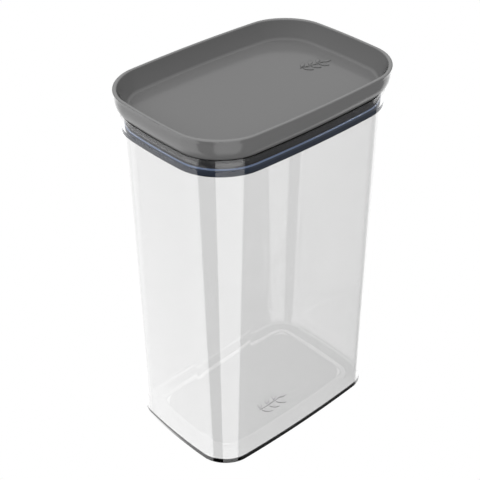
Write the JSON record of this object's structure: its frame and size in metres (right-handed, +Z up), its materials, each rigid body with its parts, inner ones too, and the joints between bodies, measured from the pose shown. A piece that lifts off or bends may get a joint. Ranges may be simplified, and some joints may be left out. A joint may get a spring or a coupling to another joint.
{
  "type": "lidded storage canister",
  "caption": "Tall clear rectangular storage canister with bowed sides and a lift-off lid: grey tray-shaped top, dark plug skirt and bluish silicone seal.",
  "frame": {"origin": "centre of the underside, on the plane that the canister stands on", "axes": "+Z up through the lid, +X along the long side, +Y along the short side; the two long faces look to -Y and +Y"},
  "size_m": [0.1464, 0.1028, 0.225],
  "materials": {
    "clear_wall": "crystal-clear moulded plastic, polished inside and out, glass-like",
    "grey_shell": "mid-grey satin moulded plastic",
    "dark_plug": "charcoal satin moulded plastic",
    "silicone": "translucent bluish-grey silicone"
  },
  "bodies": {
    "canister": {"body": "clear_wall"},
    "lid": {"lid_tray": "grey_shell", "lid_plug": "dark_plug", "gasket": "silicone"}
  },
  "joints": [
    {"name": "lid_lift", "type": "slide", "parent": "canister", "child": "lid", "axis": [0, 0, 1], "range_m": [0, 0.12]}
  ]
}
